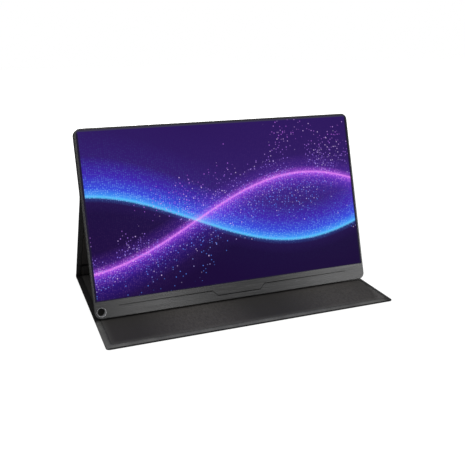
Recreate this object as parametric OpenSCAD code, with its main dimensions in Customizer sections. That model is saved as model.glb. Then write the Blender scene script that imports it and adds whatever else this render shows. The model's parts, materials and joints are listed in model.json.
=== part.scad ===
// Portable monitor standing in its folding cover.
// The cover lies on the table with its long base panel, rises from the spine as a slanted prop,
// and carries the monitor on its upper back panel, which holds on with magnets.
// Origin: middle of the footprint, on the table. +X to the viewer's right, +Y to the rear, +Z up.

/* [Monitor] */
// Width of the monitor
mon_w = 355; // [320:1:380]
// Height of the monitor from its foot to its top edge
mon_h = 219.5; // [210:0.5:235]
// Thickness of the monitor
mon_t = 9; // [9:0.1:12]
// Radius of the monitor's corners seen from the front
corner_r = 7.5; // [6.5:0.1:9]
// Rounding of the edge between the front face and the sides
front_edge_r = 0.5; // [0.2:0.05:0.8]
// Rounding of the edge between the back and the sides
back_edge_r = 2; // [1:0.1:2.4]
// Width of the rim round the screen
rim_w = 1.8; // [1.5:0.1:2.4]
// Height of the chin below the screen
chin_h = 19.8; // [17:0.1:24]
// Thickness of the front frame's face
frame_t = 1.2; // [1:0.1:1.4]
// Thickness of the rear shell's side walls
shell_wall = 1.2; // [1:0.1:1.4]
// Thickness of the rear shell's back wall
shell_back = 1; // [0.8:0.1:1.2]

/* [Stand] */
// Lean of the monitor back from upright, in degrees
tilt = 18.5; // [12:0.5:24]
// Distance from the base panel's front edge to the monitor's foot
foot_set = 65.5; // [55:0.5:75]
// Height up the monitor's back at which the cover leaves it
crease_v = 142; // [130:1:152]
// Clearance between the monitor's foot and the base lining
foot_gap = 0.3; // [0.2:0.05:0.6]

/* [Cover] */
// How far the cover reaches past the monitor's sides
cover_over = 0.5; // [0.5:0.25:4]
// Length of the base panel, from its front edge to the rear of the spine
base_len = 221.6; // [210:0.5:235]
// Thickness of a cover panel
panel_t = 3; // [2.6:0.1:3.6]
// Thickness of the outer skin
skin_t = 0.7; // [0.5:0.05:0.9]
// Thickness of the lining
lining_t = 0.6; // [0.5:0.05:0.8]
// Width of the skin's turned-in border round the lining
border_w = 6.5; // [5:0.5:9]
// How much thinner the border is pressed at the cover's free edges
edge_drop = 1.4; // [0.4:0.1:1.5]
// Corner radius of the cover's outer corners
cover_r = 4; // [2:0.5:7]
// Thickness of the folded skin wall at a panel's creased end
edge_wall = 0.8; // [0.6:0.1:1.2]
// Thickness of the bare crease, skin and lining together
web_t = 1; // [0.8:0.1:1.3]
// Room left for the panels at a crease when it is folded
fold_clear = 0.5; // [0.4:0.05:0.9]
// How far the prop's lining lies below the back panel's lining when laid flat
prop_set = 0.3; // [0.2:0.05:0.35]
// Width of the bare line between the spine strip and the prop
score_w = 4; // [3:0.5:6]

/* [Magnets] */
// Length of a holding magnet
magnet_l = 40; // [20:1:50]
// Height of a holding magnet
magnet_h = 8; // [5:0.5:12]
// Distance of the magnets' middles from the monitor's sides
magnet_in = 42.5; // [34:0.5:80]
// Distance of the lower holding magnets above the crease
magnet_rise = 22; // [18:0.5:30]
// Distance of the upper holding magnets below the monitor's top edge
magnet_drop = 18; // [12:0.5:26]
// Distance of the closing magnets from the base panel's front edge
closing_in = 16; // [12:0.5:30]
// Thickness of the magnets inside the monitor
magnet_t = 1; // [0.6:0.1:1.4]

/* [Screen] */
// Space between the rim's inner side and the picture area
active_side = 3.6; // [2.4:0.1:6]
// Space between the rim's inner top and the picture area
active_top = 2.7; // [2.2:0.1:6]
// Space between the chin and the picture area
active_low = 1.6; // [1:0.1:2.4]
// Inner corner radius of the rim round the screen
screen_r = 4.5; // [3.5:0.1:5.5]
// Depth of the screen face below the rim
screen_set = 0.3; // [0.2:0.05:0.4]
// Thickness of the front polariser with its black border
sheet_t = 0.3; // [0.2:0.05:0.4]
// Thickness of the liquid crystal cell
cell_t = 1; // [0.8:0.1:1.1]
// Border of the cell round the picture area
cell_border = 1.2; // [1:0.1:1.4]
// Length of the cell's ledge hidden behind the chin
cell_ledge = 4; // [3:0.5:5]
// Thickness of the stack of optical films
films_t = 0.5; // [0.4:0.05:0.6]
// Thickness of the light guide
guide_t = 0.7; // [0.5:0.05:0.8]
// Thickness of the reflector sheet
reflector_t = 0.2; // [0.1:0.05:0.25]
// Sheet thickness of the panel's metal tray
tray_t = 0.3; // [0.2:0.05:0.35]
// Wall of the plastic frame round the light guide
panel_frame_w = 0.9; // [0.7:0.1:1]

/* [Chin] */
// Radius of the hole for a pen
pen_r = 4.5; // [3.5:0.1:4.7]
// Distance of the pen hole from the left and bottom edges
pen_in = 7.6; // [7.4:0.1:9]
// Wall of the ring that lines the pen hole
pen_wall = 0.5; // [0.4:0.1:0.6]
// Width of the ring's bright chamfer
pen_chamfer = 0.8; // [0.6:0.1:0.9]
// Width of the decorative groove
groove_w = 0.6; // [0.4:0.1:1]
// Depth of the decorative groove
groove_deep = 0.35; // [0.2:0.05:0.5]
// Height of the groove's outer stretches
groove_high_v = 13; // [11:0.1:14]
// Height of the groove's middle stretch
groove_low_v = 6.5; // [5:0.1:8]
// Distance of the groove's ends from the monitor's sides
groove_in = 28.5; // [24:0.5:50]
// Distance of the groove's upper bends from the middle
groove_bend_x = 34.5; // [30:0.5:60]

/* [Ports and keys] */
// Depth of the ports' middle line behind the front face
port_d = 5.65; // [5.6:0.05:5.7]
// Height of the audio socket above the foot
audio_v = 40; // [34:1:46]
// Radius of the audio socket's bore
audio_r = 1.8; // [1.6:0.05:1.85]
// Height of the video socket above the foot
video_v = 56; // [54:1:60]
// Height of the lower data socket above the foot
data_v = 73; // [70:1:76]
// Spacing of the two data sockets
data_pitch = 14; // [12:0.5:16]
// Height of the power key above the foot
power_v = 120; // [118:1:124]
// Height of the menu rocker above the foot
rocker_v = 142; // [138:1:146]
// Length of the power key
key_l = 9; // [7:0.5:12]
// Length of the menu rocker
rocker_l = 18; // [14:0.5:20]
// Width of both keys
key_w = 2.4; // [2:0.1:2.6]
// How far the keys stand proud of the side
key_proud = 0.4; // [0.2:0.05:0.45]
// Travel of the power key
key_travel = 0.35; // [0.2:0.05:0.35]
// Clearance round the keys in their slots
key_gap = 0.25; // [0.2:0.05:0.3]

/* [Hidden] */
$fn = 48;

// Clearance between pieces that are laid into one another
fit = 0.2;
// Overlap that lets a cut run clear through a face
cut = 1;

// Overall width of the cover
cover_w = mon_w + 2*cover_over;

// Places in the row frame
front_y = -base_len/2;
spine_y = base_len/2 - panel_t/2;
foot_y = front_y + foot_set;
foot_z = panel_t + foot_gap + mon_t*sin(tilt);
mid_d = mon_t + panel_t/2;
mid_y = foot_y + crease_v*sin(tilt) + mid_d*cos(tilt);
mid_z = foot_z + crease_v*cos(tilt) - mid_d*sin(tilt);
prop_rise = mid_z - panel_t/2;
prop_run = spine_y - mid_y;
prop_len = sqrt(prop_rise*prop_rise + prop_run*prop_run);
prop_angle = atan2(prop_rise, prop_run);

// Turn of the middle crease away from straight, and of the spine away from flat
middle_fold = 90 - prop_angle + tilt;
spine_fold = 180 - prop_angle;

// Borders: their slope, and how far inside the free edges the boards end
border_land = 0.2;
slope_w = border_w - border_land;
edge_slope = edge_drop/slope_w;
board_lap = 1;
board_in = border_w - board_lap;

// Creases
spine_gap = panel_t/2/tan(prop_angle/2) + fold_clear;
middle_roll_r = 0.8;
middle_gap = panel_t/2*tan(middle_fold/2) + fold_clear;
strip_w = prop_len - crease_v;
base_end = spine_y - spine_gap - front_y;
prop_end = prop_len - middle_gap;
back_end = mon_h + cover_over - crease_v;
back_r = corner_r + cover_over;

// Faces of a panel, measured from its middle plane towards the skin
lining_face = -panel_t/2;
board_face = lining_face + lining_t;
skin_face = panel_t/2 - skin_t;

// Magnet rows, up the monitor from its foot
magnet_low_v = crease_v + magnet_rise;
magnet_high_v = mon_h - magnet_drop;
magnet_x = mon_w/2 - magnet_in;

// Depths behind the front face
sheet_d = screen_set;
cell_d = sheet_d + sheet_t;
films_d = cell_d + cell_t;
guide_d = films_d + films_t;
reflector_d = guide_d + guide_t;
tray_d = reflector_d + reflector_t;
tray_back_d = tray_d + tray_t;
shell_in_d = mon_t - shell_back;
timing_d = tray_back_d + fit;
timing_t = 0.6;
board_t = 0.8;
board_sink = 1.35;
board_d = port_d - board_sink;
board_back_d = board_d + board_t;

// Screen outlines
sheet_w = mon_w - 2*(rim_w + fit);
active_w = mon_w - 2*(rim_w + active_side);
active_h = mon_h - rim_w - active_top - active_low - chin_h;
cell_w = active_w + 2*cell_border;
active_v = chin_h + active_low;
cell_v = chin_h - cell_ledge;
cell_top = active_v + active_h + cell_border;
light_v = cell_v + panel_frame_w;
led_h = 2.2;
guide_v = light_v + led_h + fit;
guide_top = cell_top - panel_frame_w;
guide_w = cell_w - 2*panel_frame_w;

// Lips of the front frame
lip_t = rim_w - shell_wall;
lip_in = 14;

// Chin
side_x = mon_w/2;
pen_x = -side_x + pen_in;
pen_land = 0.1;
pen_flange_r = pen_r + pen_chamfer + pen_land;
pen_tube_r = pen_r + pen_wall;
groove_end_x = side_x - groove_in;
groove_step = groove_high_v - groove_low_v;
groove_points = [
    [-groove_end_x, groove_high_v], [-groove_bend_x, groove_high_v],
    [-groove_bend_x + groove_step, groove_low_v], [groove_bend_x - groove_step, groove_low_v],
    [groove_bend_x, groove_high_v], [groove_end_x, groove_high_v]
];

// Speakers in the chin
speaker_in = 55.5;
speaker_gap = 1;
speaker_x = side_x - speaker_in;
speaker_l = 46;
speaker_h = 10.5;
speaker_r = 1.5;
speaker_v = shell_wall + speaker_gap + speaker_h/2;
speaker_d = frame_t + 3*fit;
grille_l = 34;
grille_h = 6.5;
gasket_w = 1.5;
gasket_t = 1;
slot_pitch = 2.8;
slot_w = 1.2;
slot_end = 1;
slot_count = 11;
lead_r = 0.6;

// Boards
timing_v = cell_v + fit;
timing_h = 8;
timing_in = 23.3;
timing_l = cell_w - 2*timing_in;
flex_t = 0.15;
flex_w = 24;
flex_count = 5;
flex_pitch = timing_l/flex_count;
board_w = 113.5;
board_gap = 0.8;
board_right = side_x - shell_wall - board_gap;
board_left = board_right - board_w;
board_under = 8;
board_over = 14;
board_low = audio_v - board_under;
board_high = data_v + data_pitch + board_over;
screw_in = 5;
mouth_room = 22;
left_lead_in = 4.5;
right_lead_in = 9;
cable_in = 22;
screw_r = 0.9;
screw_head_r = 1.8;
screw_head_t = 0.6;
boss_r = 2.4;
pilot_floor = 0.4;
board_holes = [
    [board_left + screw_in, board_low + screw_in], [board_left + screw_in, board_high - screw_in],
    [board_right - mouth_room, board_low + screw_in], [board_right - mouth_room, board_high - screw_in]
];

// Sockets, all with their mouths just inside the right side
mouth_set = 0.3;
mouth_x = side_x - mouth_set;
usb_long = 8.94;
usb_thick = 3.26;
usb_deep = 7.4;
tongue_h = 6.7;
tongue_t = 0.7;
tongue_set = 0.8;
socket_wall = 0.3;
socket_back = 1;
video_long = 11.2;
video_thick = 3.4;
video_deep = 7;
audio_long = 6.2;
audio_thick = 4.4;
audio_deep = 12;
audio_nose_r = audio_r + 0.4;
socket_room = 0.15;

// Keys
key_flange = 0.8;
flange_out = 0.6;
stem_l = 3.4;
stem_w = 1.6;
key_x = side_x + key_proud;
flange_x = side_x - shell_wall - fit/2;
switch_in = 5.5;
switch_x = side_x - switch_in;
switch_deep = 3.5;
switch_long = 3.6;
switch_half = 1.25;
key_board_gap = 2.8;
key_board_w = 12.2;
nib_l = 0.6;
nib_r = 0.5;
press_gap = 0.05;
key_board_d = shell_in_d - board_t;
key_board_x = [side_x - key_board_gap - key_board_w, side_x - key_board_gap];
key_board_end = 4;
rocker_pin_in = 3.4;
rocker_pin_x = side_x - rocker_pin_in;
rocker_back = 0.8;
rocker_back_x = rocker_pin_x - rocker_back;
rocker_swing = 3;
rocker_switch_v = 6;
rocker_nib_gap = rocker_switch_v*sin(rocker_swing) + press_gap;
axle_r = 0.5;
axle_gap = 0.05;
ear_t = 0.6;
ear_gap = 0.15;
ear_v = 1.6;
ear_reach = 1.2;
cradle_gap = 1;
cradle_x = rocker_back_x - cradle_gap;
lens_r = 0.7;
lens_l = 6;
lens_drop = 9;
lens_v = power_v - lens_drop;

// Placement

// The base panel's own frame: up along it from the front edge, skin side down
module in_base() translate([0, front_y, panel_t/2]) rotate([-90, 0, 0]) children();

// The prop's own frame: up along it from the spine's axis, skin side to the rear
module in_prop() translate([0, spine_y, panel_t/2]) rotate([90 - prop_angle, 0, 0]) children();

// The monitor's own frame: x across, y the depth behind its face, z up from its foot
module in_monitor() translate([0, foot_y, foot_z]) rotate([-tilt, 0, 0]) children();

// The back panel's own frame: up along it from the middle crease's axis
module in_back() in_monitor() translate([0, mid_d, crease_v]) children();

// A flat outline drawn across and up, given a thickness from depth d0 to d1
module layer(d0, d1) translate([0, d1, 0]) rotate([90, 0, 0]) linear_extrude(d1 - d0) children();

// A section drawn in depth and height, run along x from x0 to x1
module along_x(x0, x1) translate([x0, 0, 0]) rotate([90, 0, 90]) linear_extrude(x1 - x0) children();

// A rod along the depth at (x, v)
module rod(x, v, r, d0, d1) translate([x, d0, v]) rotate([-90, 0, 0]) cylinder(r = r, h = d1 - d0);

// A rod along x at depth d and height v
module cross_rod(d, v, r, x0, x1) translate([x0, d, v]) rotate([0, 90, 0]) cylinder(r = r, h = x1 - x0);

// A block between two corners
module block(x, d, v) translate([x[0], d[0], v[0]]) cube([x[1] - x[0], d[1] - d[0], v[1] - v[0]]);

// Outlines

// Rectangle from z0 to z1, centred on x, with its lower and its upper corners rounded
module outline(w, z0, z1, low_r = 0, high_r = 0) {
    translate([-w/2, z0 + low_r]) square([w, z1 - z0 - low_r - high_r]);
    if (low_r > 0) {
        translate([-w/2 + low_r, z0]) square([w - 2*low_r, 2*low_r]);
        for (s = [-1, 1]) translate([s*(w/2 - low_r), z0 + low_r]) circle(low_r);
    }
    if (high_r > 0) {
        translate([-w/2 + high_r, z1 - 2*high_r]) square([w - 2*high_r, 2*high_r]);
        for (s = [-1, 1]) translate([s*(w/2 - high_r), z1 - high_r]) circle(high_r);
    }
}

// Slot with round ends, thin along the depth and long up the side
module stadium(long, thick) {
    translate([-thick/2, -(long - thick)/2]) square([thick, long - thick]);
    for (s = [-1, 1]) translate([0, s*(long - thick)/2]) circle(thick/2);
}

// Half of the monitor's cross section, from its middle out to a side, with both edges rounded
module half_section(len) {
    square([len - front_edge_r, mon_t/2]);
    translate([0, front_edge_r]) square([len, mon_t - front_edge_r - back_edge_r]);
    translate([0, mon_t/2]) square([len - back_edge_r, mon_t/2]);
    translate([len - front_edge_r, front_edge_r]) circle(front_edge_r);
    translate([len - back_edge_r, mon_t - back_edge_r]) circle(back_edge_r);
}

module full_section(w) {
    half_section(w/2);
    mirror([1, 0]) half_section(w/2);
}

// The monitor's outer form: rounded corners, and rounded edges that follow them
module monitor_form() {
    translate([0, 0, mon_h/2]) rotate([0, -90, 0])
        linear_extrude(mon_w - 2*corner_r, center = true) full_section(mon_h);
    translate([0, 0, corner_r]) linear_extrude(mon_h - 2*corner_r) full_section(mon_w);
    for (s = [-1, 1], v = [corner_r, mon_h - corner_r])
        translate([s*(side_x - corner_r), 0, v]) rotate([-90, 0, 0])
            rotate_extrude() half_section(corner_r);
}

// Cover panels

// A board's outline: its span is [low end, high end, lower corner radius, upper corner radius]
module board_outline(span) outline(cover_w - 2*board_in, span[0], span[1], span[2], span[3]);

// Section of the wedge taken off a border whose lining side is at depth face, with the edge at 0
function wedge(face) = [
    [-slope_w - cut, face - edge_slope*cut], [cut, face + edge_slope*(slope_w + cut)],
    [cut, face - 2*cut], [-slope_w - cut, face - 2*cut]
];

// Wedges along both sides of a panel, and along the ends that have a border
module edge_wedges(z0, z1, border, face) {
    for (s = [-1, 1])
        translate([s*cover_w/2, 0, z0 - cut]) linear_extrude(z1 - z0 + 2*cut)
            polygon([for (p = wedge(face)) [s*p[0], p[1]]]);
    if (border[0] > 0) along_x(-cover_w, cover_w) polygon([for (p = wedge(face)) [p[1], z0 - p[0]]]);
    if (border[1] > 0) along_x(-cover_w, cover_w) polygon([for (p = wedge(face)) [p[1], z1 + p[0]]]);
}

// Outer skin of a panel: wrapped round its boards and turned in over their edges.
// spans are the boards' stretches, border is the turned-in width at the low and high ends.
module panel_skin(z0, z1, spans, low_r, high_r, border, set = 0) {
    difference() {
        layer(lining_face + set, panel_t/2) outline(cover_w, z0, z1, low_r, high_r);
        for (span = spans)
            layer(board_face, skin_face) board_outline(span);
        layer(lining_face - cut, board_face)
            outline(cover_w - 2*border_w, border[0] > 0 ? z0 + border[0] : z0 - cut,
                border[1] > 0 ? z1 - border[1] : z1 + cut);
        edge_wedges(z0, z1, border, lining_face + set);
    }
}

module panel_lining(z0, z1, border, set = 0)
    layer(lining_face + set, board_face)
        outline(cover_w - 2*border_w, z0 + border[0], z1 - border[1]);

// Stiff board with windows for magnets, given as [x, height] pairs
module panel_board(span, windows = []) {
    difference() {
        layer(board_face, skin_face) board_outline(span);
        for (m = windows)
            block([m[0] - magnet_l/2, m[0] + magnet_l/2], [board_face - cut, skin_face + cut],
                [m[1] - magnet_h/2, m[1] + magnet_h/2]);
    }
}

module magnet_bars(places, d0, d1)
    for (m = places)
        block([m[0] - magnet_l/2, m[0] + magnet_l/2], [d0, d1], [m[1] - magnet_h/2, m[1] + magnet_h/2]);

// Rolled leather on a crease's axis, with the web that ties it to the panel below it
module crease_roll(r, from_z, axis_z) {
    cross_rod(0, axis_z, r, -cover_w/2, cover_w/2);
    block([-cover_w/2, cover_w/2], [-web_t/2, web_t/2], [from_z, axis_z]);
}

// Base panel
base_span = [board_in, base_end - edge_wall, max(cover_r - board_in, 0), 0];
base_border = [border_w, 0];
closing_places = [for (s = [-1, 1]) [s*magnet_x, closing_in]];

module base_skin() color("#38363a") in_base()
    panel_skin(0, base_end, [base_span], cover_r, 0, base_border);
module base_board() color("#8a7d6a") in_base() panel_board(base_span, closing_places);
module base_lining() color("#3d3b3e") in_base() panel_lining(0, base_end, base_border);
module base_magnets() color("#9a9a9e") in_base() magnet_bars(closing_places, board_face, skin_face);
module spine_roll() color("#38363a") in_base() crease_roll(panel_t/2, base_end, spine_y - front_y);

// Prop
strip_span = [spine_gap + edge_wall, strip_w - score_w/2, 0, 0];
prop_span = [strip_w + score_w/2, prop_end - edge_wall, 0, 0];

// Valley pressed between the spine strip and the prop, open to the lining side
module score_valley() block([-cover_w, cover_w], [lining_face - cut, panel_t/2 - web_t],
    [strip_w - score_w/2 + edge_wall, strip_w + score_w/2 - edge_wall]);

module prop_skin() color("#38363a") in_prop() {
    difference() {
        panel_skin(spine_gap, prop_end, [strip_span, prop_span], 0, 0, [0, 0], prop_set);
        score_valley();
    }
    block([-cover_w/2, cover_w/2], [-web_t/2, web_t/2],
        [panel_t/2 + fold_clear, spine_gap + edge_wall/2]);
}
module spine_board() color("#8a7d6a") in_prop() panel_board(strip_span);
module prop_board() color("#8a7d6a") in_prop() panel_board(prop_span);
module prop_lining() color("#3d3b3e") in_prop() difference() {
    panel_lining(spine_gap, prop_end, [0, 0], prop_set);
    score_valley();
}
module middle_roll() color("#38363a") in_prop() crease_roll(middle_roll_r, prop_end, prop_len);

// Back panel
back_span = [middle_gap + edge_wall, back_end - board_in, 0, max(back_r - board_in, 0)];
back_border = [0, border_w];
back_places = [for (s = [-1, 1], v = [magnet_low_v, magnet_high_v]) [s*magnet_x, v - crease_v]];

module back_skin() color("#38363a") in_back()
    panel_skin(middle_gap, back_end, [back_span], 0, back_r, back_border);
module back_board() color("#8a7d6a") in_back() panel_board(back_span, back_places);
module back_lining() color("#3d3b3e") in_back() panel_lining(middle_gap, back_end, back_border);
module back_magnets() color("#9a9a9e") in_back() magnet_bars(back_places, board_face, skin_face);

// Monitor casing

// Thin decorative groove across the chin, lower in the middle than at its ends
module groove() for (i = [0 : len(groove_points) - 2]) {
    a = groove_points[i];
    b = groove_points[i + 1];
    run = b - a;
    translate([a[0], 0, a[1]]) rotate([0, -atan2(run[1], run[0]), 0])
        block([0, norm(run)], [-cut, groove_deep], [-groove_w/2, groove_w/2]);
    rod(a[0], a[1], groove_w/2, -cut, groove_deep);
    rod(b[0], b[1], groove_w/2, -cut, groove_deep);
}

module front_frame() color("#525254") in_monitor() {
    difference() {
        monitor_form();
        block([-mon_w, mon_w], [frame_t, 2*mon_t], [-mon_h, 2*mon_h]);
        layer(-cut, frame_t + cut)
            outline(mon_w - 2*rim_w, chin_h, mon_h - rim_w, 0, screen_r);
        layer(cell_d, frame_t + cut)
            outline(cell_w + 2*fit, cell_v - fit, chin_h + cut);
        groove();
        rod(pen_x, pen_in, pen_flange_r, -cut, frame_t + cut);
    }
    // Lips that locate the frame inside the rear shell's walls
    for (s = [-1, 1])
        translate([s*(side_x - (rim_w + shell_wall)/2), 0, 0])
            block([-lip_t/2, lip_t/2], [frame_t - cut/2, tray_d], [chin_h + lip_in, mon_h - lip_in]);
    block([-side_x + lip_in, side_x - lip_in], [frame_t - cut/2, tray_d],
        [mon_h - rim_w, mon_h - shell_wall]);
}

module pen_ring() color("#b9babd") in_monitor()
    translate([pen_x, 0, pen_in]) rotate([-90, 0, 0]) rotate_extrude() polygon([
        [pen_r, mon_t], [pen_r, pen_chamfer], [pen_r + pen_chamfer, 0], [pen_flange_r, 0],
        [pen_flange_r, frame_t], [pen_tube_r, frame_t], [pen_tube_r, mon_t]
    ]);

// Openings in the right side, named by what comes through them
module side_openings() {
    x0 = side_x - 2*shell_wall;
    x1 = side_x + cut;
    for (i = [0, 1])
        along_x(x0, x1) translate([port_d, data_v + i*data_pitch])
            stadium(usb_long + 2*socket_room, usb_thick + 2*socket_room);
    along_x(x0, x1) translate([port_d, video_v])
        video_outline(video_long + 2*socket_room, video_thick + 2*socket_room);
    cross_rod(port_d, audio_v, audio_nose_r + socket_room/2, x0, x1);
    along_x(x0, x1) translate([port_d, power_v]) stadium(key_l + 2*key_gap, key_w + 2*key_gap);
    along_x(x0, x1) translate([port_d, rocker_v])
        stadium(rocker_l + 3*key_gap, key_w + 2*key_gap);
    cross_rod(port_d, lens_v, lens_r, x0, x1);
}

module rear_shell() color("#47474a") in_monitor() difference() {
    union() {
        difference() {
            monitor_form();
            block([-mon_w, mon_w], [-mon_t, frame_t], [-mon_h, 2*mon_h]);
            layer(-cut, shell_in_d)
                outline(mon_w - 2*shell_wall, shell_wall, mon_h - shell_wall,
                    corner_r - shell_wall, corner_r - shell_wall);
        }
        for (p = board_holes) rod(p[0], p[1], boss_r, board_back_d, shell_in_d + shell_back/2);
        rod(pen_x, pen_in, pen_in - shell_wall/2, frame_t, shell_in_d + shell_back/2);
    }
    for (p = board_holes) rod(p[0], p[1], screw_r, board_back_d - cut, shell_in_d - pilot_floor);
    rod(pen_x, pen_in, pen_tube_r, frame_t - cut, mon_t + cut);
    for (s = [-1, 1])
        layer(shell_in_d - cut, mon_t + cut)
            translate([s*speaker_x, 0]) outline(grille_l, speaker_v - grille_h/2, speaker_v + grille_h/2);
    side_openings();
}

// Screen

// What lies inside the rim keeps to its rounded upper corners
module in_rim() outline(sheet_w, -mon_h, mon_h - rim_w - fit, 0, screen_r - fit);

module screen_sheet() color("#1d0f3a") in_monitor()
    layer(sheet_d, cell_d) outline(sheet_w, chin_h + fit, mon_h - rim_w - fit, 0, screen_r - fit);

module cell_outline(grow = 0) intersection() {
    outline(cell_w + 2*grow, cell_v - grow, cell_top + grow);
    in_rim();
}

module lcd_cell() color("#20252c") in_monitor() layer(cell_d, films_d) cell_outline();
module optical_films() color("#e8e8e4") in_monitor()
    layer(films_d, guide_d) outline(guide_w, guide_v, guide_top);
module light_guide() color("#dfe8ec") in_monitor()
    layer(guide_d, reflector_d) outline(guide_w, guide_v, guide_top);
module reflector() color("#f2f2f0") in_monitor()
    layer(reflector_d, tray_d) outline(guide_w, guide_v, guide_top);
module panel_frame() color("#dadada") in_monitor() difference() {
    layer(films_d, tray_d) cell_outline();
    layer(films_d - cut, tray_d + cut) outline(guide_w, light_v, guide_top);
}

led_count = 36;
module led_strip() color("#f0e6a8") in_monitor() {
    strip_t = 0.5;
    led_l = 3.4;
    block([-guide_w/2, guide_w/2], [films_d + fit, tray_d - fit/2], [light_v, light_v + strip_t]);
    for (i = [0 : led_count - 1]) {
        x = (i + 0.5 - led_count/2)*active_w/led_count;
        block([x - led_l/2, x + led_l/2], [guide_d, reflector_d], [light_v + strip_t/2, light_v + led_h]);
    }
}

module panel_tray() color("#b8bcc0") in_monitor() difference() {
    layer(films_d, tray_back_d) cell_outline(tray_t);
    layer(films_d - cut, tray_d) cell_outline();
}

module timing_board() color("#1f5a3a") in_monitor()
    layer(timing_d, timing_d + timing_t) outline(timing_l, timing_v, timing_v + timing_h);

// Short flexes that turn round the panel's foot, from the cell's ledge to the timing board
module source_flexes() color("#b0702c") in_monitor() {
    far_d = timing_d + timing_t/2;
    near_d = films_d - 2*flex_t;
    turn_v = cell_v - 1;
    for (i = [0 : flex_count - 1]) {
        x = (i + 0.5 - flex_count/2)*flex_pitch;
        along_x(x - flex_w/2, x + flex_w/2) polygon([
            [near_d, cell_v], [near_d, turn_v - flex_t], [far_d + flex_t, turn_v - flex_t],
            [far_d + flex_t, timing_v], [far_d, timing_v], [far_d, turn_v],
            [near_d + flex_t, turn_v], [near_d + flex_t, cell_v]
        ]);
    }
}

// Electronics

// Video socket: a slot with its two front corners cut off
module video_outline(long, thick) {
    slope = 1.1;
    polygon([
        [-thick/2, -long/2], [thick/2 - slope, -long/2], [thick/2, -long/2 + slope],
        [thick/2, long/2 - slope], [thick/2 - slope, long/2], [-thick/2, long/2]
    ]);
}

// Room that the sunk sockets take out of the driver board
module socket_notches() {
    d0 = board_d - cut;
    d1 = board_back_d + cut;
    for (i = [0, 1]) {
        v = data_v + i*data_pitch;
        block([mouth_x - usb_deep - fit, side_x], [d0, d1], [v - usb_long/2 - fit, v + usb_long/2 + fit]);
    }
    block([mouth_x - video_deep - fit, side_x], [d0, d1],
        [video_v - video_long/2 - fit, video_v + video_long/2 + fit]);
    block([mouth_x - audio_deep - fit, side_x], [d0, d1],
        [audio_v - audio_long/2 - fit, audio_v + audio_long/2 + fit]);
}

module driver_board() color("#1c4f78") in_monitor() difference() {
    block([board_left, board_right], [board_d, board_back_d], [board_low, board_high]);
    socket_notches();
    for (p = board_holes) rod(p[0], p[1], screw_r + fit/2, board_d - cut, board_back_d + cut);
}

// Chips and coils: left and low corner from the board's own corner, size across, size up, height
chip_list = [
    [22, 28, 14, 14, 1.2], [42, 30, 9, 8, 1], [42, 42, 9, 8, 1], [22, 48, 6, 6, 1],
    [62, 8, 6, 6, 2.2], [62, 20, 6, 6, 2.2], [72, 34, 5, 4, 0.9], [72, 46, 5, 4, 0.9],
    [84, 38, 4, 9, 0.9], [84, 52, 4, 9, 0.9], [10, 16, 4, 2, 0.6], [10, 20, 4, 2, 0.6]
];
module board_chips() color("#26282b") in_monitor() translate([board_left, board_back_d, board_low])
    for (c = chip_list)
        translate([c[0], 0, c[1]]) cube([c[2], c[4], c[3]]);

module board_screws() color("#7d8084") in_monitor() for (p = board_holes) {
    rod(p[0], p[1], screw_head_r, board_d - screw_head_t, board_d);
    rod(p[0], p[1], screw_r, board_d - screw_head_t/2, shell_in_d - pilot_floor - fit);
}

// Flat cable from the driver board's plug down to the timing board's
module display_cable() color("#c8c2ae") in_monitor() {
    half_w = 9;
    cable_x = board_left + cable_in;
    plug_t = 0.9;
    plug_h = 4;
    foil_t = 0.3;
    low_v = timing_v + plug_h/2;
    low_d = timing_d + timing_t;
    high_v = board_low + plug_h;
    high_d = board_back_d + plug_t/2;
    along_x(cable_x - half_w, cable_x + half_w) {
        translate([low_d, low_v]) square([plug_t, plug_h]);
        translate([board_back_d, high_v]) square([plug_t, plug_h]);
        polygon([
            [low_d + plug_t - foil_t, low_v + plug_h - 1], [low_d + plug_t, low_v + plug_h - 1],
            [high_d, board_low - 1], [high_d, high_v + 1],
            [high_d - foil_t, high_v + 1], [high_d - foil_t, board_low - 1]
        ]);
    }
}

module usb_sockets() color("#a9adb2") in_monitor() for (i = [0, 1])
    translate([0, port_d, data_v + i*data_pitch]) {
        difference() {
            along_x(mouth_x - usb_deep, mouth_x) stadium(usb_long, usb_thick);
            along_x(mouth_x - usb_deep + socket_back, mouth_x + cut)
                stadium(usb_long - 2*socket_wall, usb_thick - 2*socket_wall);
        }
        block([mouth_x - usb_deep + socket_back/2, mouth_x - tongue_set],
            [-tongue_t/2, tongue_t/2], [-tongue_h/2, tongue_h/2]);
    }

module video_socket() color("#a9adb2") in_monitor() translate([0, port_d, video_v]) {
    difference() {
        along_x(mouth_x - video_deep, mouth_x) video_outline(video_long, video_thick);
        along_x(mouth_x - video_deep + socket_back, mouth_x + cut)
            video_outline(video_long - 2*socket_wall, video_thick - 2*socket_wall);
    }
    block([mouth_x - video_deep + socket_back/2, mouth_x - tongue_set],
        [-tongue_t/2, tongue_t/2], [-tongue_h/2, tongue_h/2]);
}

module audio_socket() color("#2a2b2d") in_monitor() difference() {
    union() {
        block([mouth_x - audio_deep, side_x - shell_wall - fit],
            [port_d - audio_thick/2, port_d + audio_thick/2],
            [audio_v - audio_long/2, audio_v + audio_long/2]);
        cross_rod(port_d, audio_v, audio_nose_r, side_x - shell_wall - cut, mouth_x);
    }
    cross_rod(port_d, audio_v, audio_r, mouth_x - audio_deep + socket_back, mouth_x + cut);
}

// Sound

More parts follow.
